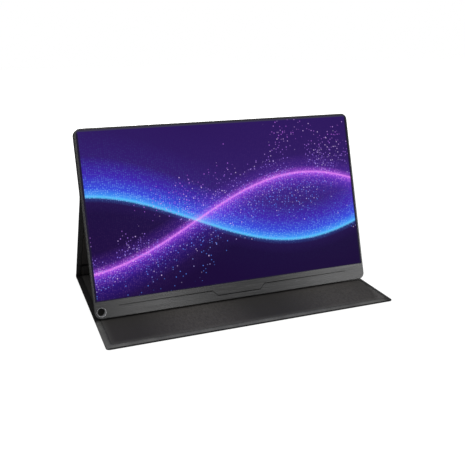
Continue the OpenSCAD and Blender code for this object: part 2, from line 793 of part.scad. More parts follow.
module speaker(s) in_monitor() translate([s*speaker_x, 0, 0]) {
    back_d = shell_in_d - gasket_t;
    layer(speaker_d, back_d) outline(speaker_l, speaker_v - speaker_h/2, speaker_v + speaker_h/2,
        speaker_r, speaker_r);
    difference() {
        layer(back_d - cut/2, shell_in_d) outline(grille_l + 2*gasket_w,
            speaker_v - grille_h/2 - gasket_w, speaker_v + grille_h/2 + gasket_w);
        layer(back_d, shell_in_d + cut) outline(grille_l, speaker_v - grille_h/2, speaker_v + grille_h/2);
    }
}
module left_speaker() color("#2c2d30") speaker(-1);
module right_speaker() color("#2c2d30") speaker(1);

module speaker_grilles() color("#47474a") in_monitor() for (s = [-1, 1])
    layer(shell_in_d, mon_t) translate([s*speaker_x, 0]) difference() {
        outline(grille_l, speaker_v - grille_h/2, speaker_v + grille_h/2);
        for (i = [0 : slot_count - 1])
            translate([(i + 0.5 - slot_count/2)*slot_pitch - slot_w/2, speaker_v - grille_h/2 + slot_end])
                square([slot_w, grille_h - 2*slot_end]);
    }

// Insulated leads from each speaker's inner end along the chin and up to the driver board
module lead(x0, x1) {
    d = board_back_d + 1;
    end_v = board_low + 1.2;
    cross_rod(d, speaker_v, lead_r, min(x0, x1), max(x0, x1));
    translate([x1, d, speaker_v]) cylinder(r = lead_r, h = end_v - speaker_v);
    for (v = [speaker_v, end_v]) translate([x1, d, v]) sphere(lead_r);
    rod(x1, end_v, lead_r, board_back_d, d);
}
module speaker_leads() color("#a33030") in_monitor() {
    lead(-speaker_x + speaker_l/2, board_left + left_lead_in);
    lead(speaker_x - speaker_l/2, board_left + right_lead_in);
}

module shell_magnets() color("#9a9a9e") in_monitor()
    magnet_bars([for (p = back_places) [p[0], p[1] + crease_v]], shell_in_d - magnet_t, shell_in_d);

// Keys

// Small board behind the keys, notched round the cradle's outer ear
module key_board() color("#1c4f78") in_monitor() difference() {
    block(key_board_x, [key_board_d, shell_in_d],
        [lens_v - key_board_end, rocker_v + rocker_l/2 + key_board_end]);
    block([cradle_x, side_x], [key_board_d - cut, shell_in_d + cut],
        [rocker_v - ear_v - fit, rocker_v + ear_v + fit]);
}

// Side-push switch standing on the key board, its nib ending at nib_x
module push_switch(v, nib_x) {
    block([nib_x - nib_l - switch_deep, nib_x - nib_l], [port_d - switch_half, key_board_d],
        [v - switch_long/2, v + switch_long/2]);
    cross_rod(port_d, v, nib_r, nib_x - nib_l - cut/2, nib_x);
}
power_nib_x = switch_x + nib_l;
rocker_nib_x = rocker_back_x - rocker_nib_gap;
module key_switches() color("#3a3a3c") in_monitor() {
    push_switch(power_v, power_nib_x);
    for (s = [-1, 1]) push_switch(rocker_v + s*rocker_switch_v, rocker_nib_x);
}

module status_lens() color("#d8dde0") in_monitor()
    cross_rod(port_d, lens_v, lens_r, side_x - lens_l, side_x);

module power_key() color("#5a5a5c") in_monitor() translate([0, port_d, power_v]) {
    along_x(flange_x - key_flange/2, key_x) stadium(key_l, key_w);
    along_x(flange_x - key_flange, flange_x) stadium(key_l + 2*flange_out, key_w + 2*flange_out);
    along_x(power_nib_x + key_travel + press_gap, flange_x - key_flange/2) stadium(stem_l, stem_w);
}

module menu_rocker() color("#5a5a5c") in_monitor() translate([0, port_d, rocker_v]) {
    along_x(rocker_back_x, key_x) stadium(rocker_l, key_w);
    rod_len = key_w/2 + ear_gap + ear_t;
    rod(rocker_pin_x, 0, axle_r, -rod_len, rod_len);
}

// Bracket on the key board with two ears that hold the rocker's axle
module rocker_cradle() color("#8f9296") in_monitor() translate([0, 0, rocker_v]) difference() {
    ear_d = key_w/2 + ear_gap;
    union() {
        for (s = [-1, 1]) translate([0, port_d + s*(ear_d + ear_t/2), 0])
            block([cradle_x, rocker_pin_x + ear_reach], [-ear_t/2, ear_t/2], [-ear_v, ear_v]);
        block([cradle_x - ear_t, cradle_x], [port_d - ear_d - ear_t, key_board_d], [-ear_v, ear_v]);
    }
    rod(rocker_pin_x, 0, axle_r + axle_gap, port_d - 2*key_w, port_d + 2*key_w);
}

base_skin();
base_board();
base_lining();
base_magnets();
spine_roll();
prop_skin();
spine_board();
prop_board();
prop_lining();
middle_roll();
back_skin();
back_board();
back_lining();
back_magnets();
front_frame();
pen_ring();
screen_sheet();
lcd_cell();
optical_films();
light_guide();
reflector();
panel_frame();
led_strip();
panel_tray();
timing_board();
source_flexes();
driver_board();
board_chips();
board_screws();
display_cable();
usb_sockets();
video_socket();
audio_socket();
left_speaker();
right_speaker();
speaker_leads();
speaker_grilles();
rear_shell();
shell_magnets();
key_board();
key_switches();
rocker_cradle();
status_lens();
power_key();
menu_rocker();
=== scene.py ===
# Portable monitor that stands in its folding cover.
#
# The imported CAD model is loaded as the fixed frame, in metres: x to the viewer's right, y to the rear,
# z up from the table. Each operator dresses one group of pieces: leather panels, creases, screen,
# casing, hardware and the studio. main() runs them in order.

import json
import math

import bmesh
import bpy
from mathutils import Matrix, Vector
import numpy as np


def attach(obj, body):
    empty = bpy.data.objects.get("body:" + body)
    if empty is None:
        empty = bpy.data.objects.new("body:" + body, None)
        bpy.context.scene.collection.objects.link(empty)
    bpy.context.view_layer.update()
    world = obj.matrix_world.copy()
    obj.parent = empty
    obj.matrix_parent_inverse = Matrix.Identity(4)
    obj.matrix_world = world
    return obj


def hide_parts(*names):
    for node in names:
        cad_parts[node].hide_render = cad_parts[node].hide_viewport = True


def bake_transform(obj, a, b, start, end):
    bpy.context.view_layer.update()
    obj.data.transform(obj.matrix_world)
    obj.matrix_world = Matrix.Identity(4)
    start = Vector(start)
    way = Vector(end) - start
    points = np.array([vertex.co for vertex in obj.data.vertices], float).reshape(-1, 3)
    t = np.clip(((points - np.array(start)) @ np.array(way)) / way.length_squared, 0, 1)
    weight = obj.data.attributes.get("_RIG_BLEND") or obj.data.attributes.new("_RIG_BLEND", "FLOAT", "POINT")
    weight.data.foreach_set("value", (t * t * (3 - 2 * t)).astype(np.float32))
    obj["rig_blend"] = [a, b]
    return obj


bl_info = {
    "name": "Portable monitor with cover",
    "version": (1, 0, 0),
    "blender": (4, 5, 0),
    "location": "3D View > Sidebar > Monitor",
    "description": "Builds the looks of a portable monitor and its folding cover",
    "category": "Object",
}

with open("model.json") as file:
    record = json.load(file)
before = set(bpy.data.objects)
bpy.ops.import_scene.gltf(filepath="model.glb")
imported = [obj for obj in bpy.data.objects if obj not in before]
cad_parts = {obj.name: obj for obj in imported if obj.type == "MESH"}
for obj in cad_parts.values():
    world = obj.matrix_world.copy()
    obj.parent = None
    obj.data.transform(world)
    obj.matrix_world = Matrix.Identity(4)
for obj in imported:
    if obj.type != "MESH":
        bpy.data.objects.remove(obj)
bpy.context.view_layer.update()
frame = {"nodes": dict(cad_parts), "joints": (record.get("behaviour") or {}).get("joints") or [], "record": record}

MM = 0.001
X = Vector((1, 0, 0))
PAINTED_HIGHLIGHT = "Rubbed"  # attribute that tells where the base panel's border takes a painted highlight
JOINTS = {joint["name"]: joint for joint in frame["joints"]}
SLOTS = {row["node"]: row["material_slot"] for row in frame["record"]["subparts"]}
SPINE = Vector(JOINTS["spine_fold"]["pos_m"])
MIDDLE = Vector(JOINTS["middle_fold"]["pos_m"])
SPINE_FOLD = math.radians(JOINTS["spine_fold"]["range_deg"][1])
MIDDLE_FOLD = math.radians(JOINTS["middle_fold"]["range_deg"][1])


def panel_place(origin, up, out):
    """A panel's own frame: x across, y out through its skin, z up along it."""
    place = Matrix((X, out, up)).transposed().to_4x4()
    place.translation = origin
    return place


BASE = panel_place(SPINE, Vector((0, 1, 0)), Vector((0, 0, -1)))
PROP_UP = (MIDDLE - SPINE).normalized()
PROP = panel_place(SPINE, PROP_UP, Vector((0, PROP_UP.z, -PROP_UP.y)))
BACK_OUT = -Vector(JOINTS["magnet_release"]["axis"]).normalized()
BACK = panel_place(MIDDLE, Vector((0, -BACK_OUT.z, BACK_OUT.y)), BACK_OUT)


def srgb(code):
    """Linear colour of an sRGB hex value."""
    parts = [int(code[i : i + 2], 16) / 255 for i in (1, 3, 5)]
    return [p / 12.92 if p <= 0.04045 else ((p + 0.055) / 1.055) ** 2.4 for p in parts] + [1]


def local_box(node, place):
    """Lowest and highest corner of a CAD node in a panel's own frame."""
    back = place.inverted()
    points = [back @ v.co for v in frame["nodes"][node].data.vertices]
    return Vector(map(min, zip(*points))), Vector(map(max, zip(*points)))


# Settings


def length(name, description, default, top):
    return bpy.props.FloatProperty(
        name=name, description=description, default=default, min=0, max=top, precision=5, unit="LENGTH"
    )


def power(name, description, default, top):
    return bpy.props.FloatProperty(
        name=name, description=description, default=default, min=0, max=top, unit="POWER"
    )


def share(name, description, default, top=1.0):
    return bpy.props.FloatProperty(
        name=name, description=description, default=default, min=0, max=top, subtype="FACTOR"
    )


def colour(name, description, code):
    return bpy.props.FloatVectorProperty(
        name=name, description=description, default=srgb(code), size=4, min=0, max=1, subtype="COLOR"
    )


class CoverSettings(bpy.types.PropertyGroup):
    """Sizes and colours of the folding cover"""

    border: length("Border", "Width of the turned-in leather border", 6.5 * MM, 0.02)
    drop: length("Border drop", "How much thinner the border is pressed at the edge", 1.4 * MM, 0.002)
    crease_border: length("Crease border", "Width of the pressed edge along a crease", 1.2 * MM, 0.004)
    low_corner: length("Front corners", "Radius of the base panel's front corners", 4 * MM, 0.02)
    high_corner: length("Upper corners", "Radius of the back panel's upper corners", 8 * MM, 0.02)
    valley: length("Valley", "Width of the pressed line across the prop", 2.4 * MM, 0.01)
    valley_at: length("Valley place", "Distance of that line from the spine", 26.55 * MM, 0.1)
    recess: length("Lining recess", "Depth of the bed in which the lining lies", 0.4 * MM, 0.001)
    web: length("Crease web", "Thickness of the leather across a crease", 1 * MM, 0.003)
    leather: colour("Leather", "Colour of the leather", "#1a1919")
    # Painted highlight: a lighter tone on the pressed border's slopes, standing in for the light they catch
    highlight_tone: colour("Painted highlight border", "Colour of the leather where pressing rubbed it light", "#6b6b69")
    lining: colour("Lining", "Colour of the lining", "#504d4b")
    grain: length("Grain", "Spacing of the leather's embossed grain", 1.3 * MM, 0.01)


class CasingSettings(bpy.types.PropertyGroup):
    """Colours of the monitor's casing"""

    front: colour("Front frame", "Colour of the painted front frame", "#313132")
    shell: colour("Rear shell", "Colour of the anodised rear shell", "#222225")
    ring: colour("Ring", "Colour of the ring that lines the pen hole", "#d0d1d4")


class ScreenSettings(bpy.types.PropertyGroup):
    """Sizes and colours of the lit screen"""

    side: length("Side border", "Black border beside the picture", 1.7 * MM, 0.02)
    top: length("Top border", "Black border above the picture", 1.4 * MM, 0.02)
    low: length("Low border", "Black border below the picture", 0.5 * MM, 0.02)
    corner: length("Upper corners", "Radius of the screen's upper corners", 4.3 * MM, 0.02)
    upper: colour("Upper field", "Colour of the picture's upper field", "#2c175b")
    lower: colour("Lower field", "Colour of the picture's lower field", "#1a0838")
    dots: bpy.props.FloatProperty(
        name="Dots", description="Dots up the picture's height", default=84, min=10, max=200
    )
    light: share("Light", "Strength of the screen's light", 1.0, 4.0)


class StudioSettings(bpy.types.PropertyGroup):
    """Strengths of the studio's lights"""

    world: share("World", "Strength of the light from all round", 0.32, 4.0)
    gloss: share("Reflections", "Strength of the surroundings in reflections", 0.15, 4.0)
    front: power("Front", "Power of the large light in front", 23.0, 200.0)
    back: power("Back", "Power of the large light behind", 50.0, 200.0)
    left_strip: power("Left strip", "Power of the narrow light that the chin's left half mirrors", 1.2, 50.0)
    right_strip: power("Right strip", "Power of the one that its right half mirrors", 2.7, 50.0)
    floor_shade: share("Floor shade", "How strongly the floor shows the object's shadow", 0.2)


# Shader nodes


def add(tree, kind, inputs=None, out=0, **settings):
    """Adds a shader node with its settings, sets or links its inputs, and returns one of its outputs.

    inputs maps a socket's name, or its place where sockets share a name, to a value or to another node's
    output."""
    made = tree.nodes.new("ShaderNode" + kind)
    for name, value in settings.items():
        setattr(made, name, value)
    for key, value in (inputs or {}).items():
        if isinstance(value, bpy.types.NodeSocket):
            tree.links.new(value, made.inputs[key])
        else:
            made.inputs[key].default_value = value
    outputs = [o for o in made.outputs if o.enabled]
    if not outputs:
        return made
    return made.outputs[out] if isinstance(out, str) else outputs[out]


def new_material(name):
    material = bpy.data.materials.new(name)
    material.use_nodes = True
    material.node_tree.nodes.clear()
    return material, material.node_tree


def scaled(tint, by):
    """A colour with its light multiplied."""
    return [c * by for c in tint[:3]] + [1]


# Materials

TEXTURE_DEPTH = 0.03 * MM  # of a moulded face


def highlight_share(tree):
    """Share of the painted highlight on the pressed border, a lighter tone where light would catch its slope: in
    front of the monitor's foot, not on the front wall, less on the right.
    """
    highlight = add(tree, "Attribute", attribute_name=PAINTED_HIGHLIGHT, out="Fac")
    across = add(tree, "SeparateXYZ", {"Vector": add(tree, "TexCoord", out="Object")})
    along = across.node.outputs["Y"]
    # Each row fades a place from one share at the first distance to another at the second, in millimetres
    for place, start, end, before, after in (
            (along, -46, -38, 1.0, 0.0), (along, -110.4, -109.4, 0.0, 1.0), (across, 165, 173, 1.0, 0.1)):
        fade = add(tree, "MapRange", {
            "Value": place, "From Min": start * MM, "From Max": end * MM, "To Min": before, "To Max": after})
        highlight = add(tree, "Math", {0: highlight, 1: fade}, operation="MULTIPLY")
    return highlight


def leather_material():
    """Polyurethane leather, embossed and calendered: small pebbles with darker creases, satin, and a
    slightly polished look where the pebbles stand proud. The grain is drawn coarser than the real
    0.6 mm, so that it shows."""
    settings = bpy.context.scene.cover_settings
    material, tree = new_material("Polyurethane leather, embossed grain")
    place = add(tree, "TexCoord", out="Object")
    pebbles = add(tree, "TexVoronoi", {
        "Vector": place, "Scale": 1 / settings.grain, "Smoothness": 0.6, "Randomness": 0.9},
        feature="SMOOTH_F1")
    clouds = add(tree, "TexNoise", {"Vector": place, "Scale": 1 / (22 * MM), "Detail": 3.0})
    wrinkles = add(tree, "TexNoise", {"Vector": place, "Scale": 1 / (5 * MM), "Detail": 4.0})
    # Painted highlight: the pressed border is mixed towards a lighter tone
    highlight = highlight_share(tree)
    dark = scaled(settings.leather, 0.62)
    tone = add(tree, "Mix", {
        "Factor": highlight, "A": settings.leather, "B": settings.highlight_tone}, data_type="RGBA")
    # Where the painted highlight lies, most of the dark goes out of the creases between the pebbles
    pits = add(tree, "MapRange", {"Value": pebbles, "From Min": 0.15, "From Max": 0.62, "To Max": 0.8})
    outside_highlight = add(tree, "MapRange", {"Value": highlight, "To Min": 1.0, "To Max": 0.25})
    pits = add(tree, "Math", {0: pits, 1: outside_highlight}, operation="MULTIPLY")
    tone = add(tree, "Mix", {"Factor": pits, "A": tone, "B": dark}, data_type="RGBA")
    clouds = add(tree, "MapRange", {"Value": clouds, "From Min": 0.35, "From Max": 0.7, "To Max": 0.35})
    tone = add(tree, "Mix", {"Factor": clouds, "A": tone, "B": dark}, data_type="RGBA")
    rough = add(tree, "MapRange", {
        "Value": wrinkles, "From Min": 0.3, "From Max": 0.7, "To Min": 0.46, "To Max": 0.62})
    soft = add(tree, "Bump", {"Height": wrinkles, "Distance": 0.25 * MM, "Strength": 0.35})
    proud = add(tree, "MapRange", {"Value": pebbles, "From Max": 0.7, "To Min": 1.0, "To Max": 0.0})
    normal = add(tree, "Bump", {"Height": proud, "Distance": 0.22 * MM, "Strength": 0.7, "Normal": soft})
    shader = add(tree, "BsdfPrincipled", {
        "Base Color": tone, "Roughness": rough, "Specular IOR Level": 0.3, "IOR": 1.46, "Normal": normal})
    add(tree, "OutputMaterial", {"Surface": shader})
    return material


def lining_material():
    """Suede-touch lining, knitted and brushed: matt with a faint sheen and short cross threads, which are
    drawn coarser than the real 0.3 mm, so that they show."""
    settings = bpy.context.scene.cover_settings
    material, tree = new_material("Suede-touch lining, brushed")
    place = add(tree, "TexCoord", out="Object")
    threads = add(tree, "Mapping", {"Vector": place, "Scale": (1.0, 0.35, 0.35)})
    nap = add(tree, "TexNoise", {"Vector": threads, "Scale": 1 / (1.6 * MM), "Detail": 4.0, "Roughness": 0.7})
    # Painted sheen: lighter and darker bands 187 mm apart stand in for the lights' reflection across the lining. A
    # wave at scale 1 repeats every pi / 10 m.
    bands = add(tree, "TexWave", {
        "Vector": place, "Scale": math.pi / 10 / (187 * MM), "Distortion": 1.2, "Detail": 2.0,
        "Detail Scale": 2.0, "Phase Offset": 5.1}, out="Fac", bands_direction="X", wave_profile="SIN")
    dark = scaled(settings.lining, 0.3)
    upright = add(tree, "MapRange", {"Value": nap, "From Min": 0.32, "From Max": 0.7, "To Min": 0.25})
    tone = add(tree, "Mix", {"Factor": upright, "A": dark, "B": settings.lining}, data_type="RGBA")
    bands = add(tree, "MapRange", {
        "Value": bands, "From Min": 0.05, "From Max": 0.95, "To Min": 0.95, "To Max": 0.0})
    tone = add(tree, "Mix", {"Factor": bands, "A": tone, "B": dark}, data_type="RGBA")
    # Painted highlight: a little of it reaches the lining's edges
    highlight = add(tree, "Math", {0: highlight_share(tree), 1: 0.18}, operation="MULTIPLY")
    tone = add(tree, "Mix", {"Factor": highlight, "A": tone, "B": settings.highlight_tone}, data_type="RGBA")
    normal = add(tree, "Bump", {"Height": nap, "Distance": 0.18 * MM, "Strength": 0.6})
    shader = add(tree, "BsdfPrincipled", {
        "Base Color": tone, "Roughness": 0.72, "Specular IOR Level": 0.3, "IOR": 1.46, "Sheen Weight": 0.05,
        "Sheen Roughness": 0.5, "Normal": normal})
    add(tree, "OutputMaterial", {"Surface": shader})
    return material


def paint_material():
    """Spray paint over moulded plastic, brushed along its length: satin, with fine streaks and the paint's orange
    peel. Behind the front face, on the frame's walls, and in the groove, shade is painted in dark, and the walls
    reflect little."""
    settings = bpy.context.scene.casing_settings
    material, tree = new_material("ABS, brushed and painted satin")
    place = add(tree, "TexCoord", out="Object")
    back = BACK.inverted()
    here = add(tree, "Mapping", {"Vector": place, "Location": back.translation, "Rotation": back.to_euler()})
    # Streaks are drawn as coarse as they need to show
    drawn = add(tree, "Mapping", {"Vector": here, "Scale": (0.03, 1.0, 1.0)})
    streaks = add(tree, "TexNoise", {"Vector": drawn, "Scale": 1 / (1.3 * MM), "Detail": 3.0})
    peel = add(tree, "TexNoise", {"Vector": place, "Scale": 1 / (1.1 * MM), "Detail": 2.0})
    bright = add(tree, "MapRange", {"Value": streaks, "From Min": 0.35, "From Max": 0.65})
    tone = add(tree, "Mix", {
        "Factor": bright, "A": settings.front, "B": scaled(settings.front, 1.16)}, data_type="RGBA")
    low = local_box("front_frame", BACK)[0]
    split = add(tree, "SeparateXYZ", {"Vector": here})
    # Painted shade: the walls behind the front face are darkened as if in shade
    painted_shade = add(tree, "MapRange", {
        "Value": split.node.outputs["Y"], "From Min": low.y + 0.5 * MM, "From Max": low.y + 0.9 * MM})
    # The groove is thinner than the render can show, so its shade is drawn about 1 mm wide
    across = add(tree, "Math", {0: split}, operation="ABSOLUTE")
    line = add(tree, "MapRange", {
        "Value": across, "From Min": 28 * MM, "From Max": 34.5 * MM,
        "To Min": low.z + 6.5 * MM, "To Max": low.z + 13 * MM})
    off = add(tree, "Math", {0: split.node.outputs["Z"], 1: line}, operation="SUBTRACT")
    off = add(tree, "Math", {0: off}, operation="ABSOLUTE")
    shade = add(tree, "MapRange", {
        "Value": off, "From Min": 0.4 * MM, "From Max": 0.7 * MM, "To Min": 1.0, "To Max": 0.0})
    fade = add(tree, "MapRange", {
        "Value": across, "From Min": 34 * MM, "From Max": 149 * MM, "To Min": 0.95, "To Max": 0.6})
    end = add(tree, "MapRange", {
        "Value": across, "From Min": 149 * MM, "From Max": 150 * MM, "To Min": 1.0, "To Max": 0.0})
    fade = add(tree, "Math", {0: fade, 1: end}, operation="MULTIPLY")
    shade = add(tree, "Math", {0: shade, 1: fade}, operation="MULTIPLY")
    # The groove's painted shade joins that of the walls
    painted_shade = add(tree, "Math", {0: painted_shade, 1: shade}, operation="MAXIMUM")
    tone = add(tree, "Mix", {"Factor": painted_shade, "A": tone, "B": srgb("#0b0b0c")}, data_type="RGBA")
    rough = add(tree, "MapRange", {
        "Value": streaks, "From Min": 0.3, "From Max": 0.7, "To Min": 0.2, "To Max": 0.3})
    mirror = add(tree, "MapRange", {"Value": painted_shade, "To Min": 0.5, "To Max": 0.05})
    normal = add(tree, "Bump", {"Height": peel, "Distance": 0.02 * MM, "Strength": 0.5})
    shader = add(tree, "BsdfPrincipled", {
        "Base Color": tone, "Roughness": rough, "IOR": 1.48, "Specular IOR Level": mirror, "Normal": normal})
    add(tree, "OutputMaterial", {"Surface": shader})
    return material


def anodised_material():
    """Aluminium, bead blasted and anodised: dull metal with a fine even sparkle, which is drawn coarser
    than the real 0.2 mm, so that it shows."""
    settings = bpy.context.scene.casing_settings
    material, tree = new_material("Aluminium, blasted and anodised")
    place = add(tree, "TexCoord", out="Object")
    beads = add(tree, "TexNoise", {"Vector": place, "Scale": 1 / (0.7 * MM), "Detail": 3.0})
    clouds = add(tree, "TexNoise", {"Vector": place, "Scale": 1 / (60 * MM), "Detail": 1.0})
    clouds = add(tree, "MapRange", {"Value": clouds, "From Min": 0.35, "From Max": 0.65})
    tone = add(tree, "Mix", {
        "Factor": clouds, "A": settings.shell, "B": scaled(settings.shell, 0.8)}, data_type="RGBA")
    rough = add(tree, "MapRange", {
        "Value": beads, "From Min": 0.3, "From Max": 0.7, "To Min": 0.38, "To Max": 0.5})
    normal = add(tree, "Bump", {"Height": beads, "Distance": 0.02 * MM, "Strength": 0.6})
    shader = add(tree, "BsdfPrincipled", {
        "Base Color": tone, "Metallic": 0.85, "Roughness": rough, "Specular Tint": srgb("#8c8c8c"),
        "Normal": normal})
    add(tree, "OutputMaterial", {"Surface": shader})
    return material


def ring_material():
    """Aluminium, diamond cut: bright turned metal with fine tool marks, drawn coarser than the real 0.1 mm,
    so that they show."""
    settings = bpy.context.scene.casing_settings
    material, tree = new_material("Aluminium, diamond cut")
    place = add(tree, "TexCoord", out="Object")
    marks = add(tree, "TexNoise", {"Vector": place, "Scale": 1 / (0.5 * MM), "Detail": 1.0})
    rough = add(tree, "MapRange", {
        "Value": marks, "From Min": 0.3, "From Max": 0.7, "To Min": 0.2, "To Max": 0.32})
    normal = add(tree, "Bump", {"Height": marks, "Distance": 0.01 * MM, "Strength": 0.4})
    shader = add(tree, "BsdfPrincipled", {
        "Base Color": settings.ring, "Metallic": 0.88, "Roughness": rough, "Normal": normal})
    add(tree, "OutputMaterial", {"Surface": shader})
    return material


def metal_material(name, tint, gloss):
    """Plated or stamped sheet metal: streaks of rolling, drawn coarser than the real 0.1 mm, so that they
    show."""
    material, tree = new_material(name)
    place = add(tree, "TexCoord", out="Object")
    rolled = add(tree, "Mapping", {"Vector": place, "Scale": (0.08, 1.0, 1.0)})
    streaks = add(tree, "TexNoise", {"Vector": rolled, "Scale": 1 / (0.5 * MM), "Detail": 3.0})
    bright = add(tree, "MapRange", {"Value": streaks, "From Min": 0.3, "From Max": 0.7})
    tone = add(tree, "Mix", {
        "Factor": bright, "A": scaled(srgb(tint), 0.8), "B": srgb(tint)}, data_type="RGBA")
    rough = add(tree, "MapRange", {
        "Value": streaks, "From Min": 0.3, "From Max": 0.7, "To Min": gloss, "To Max": gloss + 0.15})
    normal = add(tree, "Bump", {"Height": streaks, "Distance": 0.01 * MM, "Strength": 0.4})
    shader = add(tree, "BsdfPrincipled", {
        "Base Color": tone, "Metallic": 1.0, "Roughness": rough, "Normal": normal})
    add(tree, "OutputMaterial", {"Surface": shader})
    return material


def moulded_material(name, tint, gloss, spacing, depth=TEXTURE_DEPTH, ior=1.5, clear=0.0):
    """Moulded, pressed or laminated stuff: a fine texture, drawn coarser than it is so that it shows, and a
    little shade from place to place."""
    material, tree = new_material(name)
    place = add(tree, "TexCoord", out="Object")
    texture = add(tree, "TexNoise", {"Vector": place, "Scale": 1 / spacing, "Detail": 3.0})
    clouds = add(tree, "TexNoise", {"Vector": place, "Scale": 1 / (30 * spacing), "Detail": 1.0})
    dark = scaled(srgb(tint), 0.75)
    clouds = add(tree, "MapRange", {"Value": clouds, "From Min": 0.3, "From Max": 0.7})
    tone = add(tree, "Mix", {"Factor": clouds, "A": srgb(tint), "B": dark}, data_type="RGBA")
    pits = add(tree, "MapRange", {"Value": texture, "From Min": 0.3, "From Max": 0.7, "To Max": 0.4})
    tone = add(tree, "Mix", {"Factor": pits, "A": tone, "B": dark}, data_type="RGBA")
    rough = add(tree, "MapRange", {
        "Value": texture, "From Min": 0.3, "From Max": 0.7, "To Min": gloss, "To Max": gloss + 0.12})
    normal = add(tree, "Bump", {"Height": texture, "Distance": depth, "Strength": 0.5})
    shader = add(tree, "BsdfPrincipled", {
        "Base Color": tone, "Roughness": rough, "IOR": ior, "Transmission Weight": clear, "Normal": normal})
    add(tree, "OutputMaterial", {"Surface": shader})
    return material


# The picture: two ribbons of light that cross, with drifting dots. Each ramp runs along the height
# above a ribbon's edge, as a share of the picture's height, and its ends are RAMP_LOW and RAMP_HIGH.
RAMP_LOW, RAMP_HIGH = -0.3, 0.6
PICTURE_WIDE = 16 / 9
FALLING_RIBBON = [
    (-0.3, "#000000"), (-0.035, "#020412"), (-0.012, "#0a2f62"), (0.0, "#4fc6ff"), (0.014, "#2f8df2"),
    (0.05, "#2346d8"), (0.13, "#2819a0"), (0.24, "#140a44"), (0.4, "#04021a"), (0.6, "#000000")]
RISING_RIBBON = [
    (-0.3, "#000000"), (-0.2, "#0b0424"), (-0.1, "#1d0c62"), (-0.04, "#4a1fa0"), (-0.01, "#8a3ad0"),
    (0.0, "#e07cf4"), (0.01, "#7c34b4"), (0.04, "#2c1062"), (0.12, "#0a0420"), (0.6, "#000000")]


def ribbon(tree, across, up, middle, swing, pace, start, stops):
    """Height above a ribbon's edge, which swings about middle, and the ribbon's light there."""
    turn = add(tree, "Math", {0: across, 1: pace, 2: start}, operation="MULTIPLY_ADD")
    wave = add(tree, "Math", {0: turn}, operation="COSINE")
    edge = add(tree, "Math", {0: wave, 1: swing, 2: middle}, operation="MULTIPLY_ADD")
    height = add(tree, "Math", {0: up, 1: edge}, operation="SUBTRACT")
    along = add(tree, "MapRange", {"Value": height, "From Min": RAMP_LOW, "From Max": RAMP_HIGH})
    ramp = add(tree, "ValToRGB", {"Fac": along})
    band = ramp.node.color_ramp
    ends = {0: 0, len(stops) - 1: -1}  # a new ramp has these two stops
    for i, (place, code) in enumerate(stops):
        at = (place - RAMP_LOW) / (RAMP_HIGH - RAMP_LOW)
        stop = band.elements[ends[i]] if i in ends else band.elements.new(at)
        stop.position, stop.color = at, srgb(code)
    return height, ramp


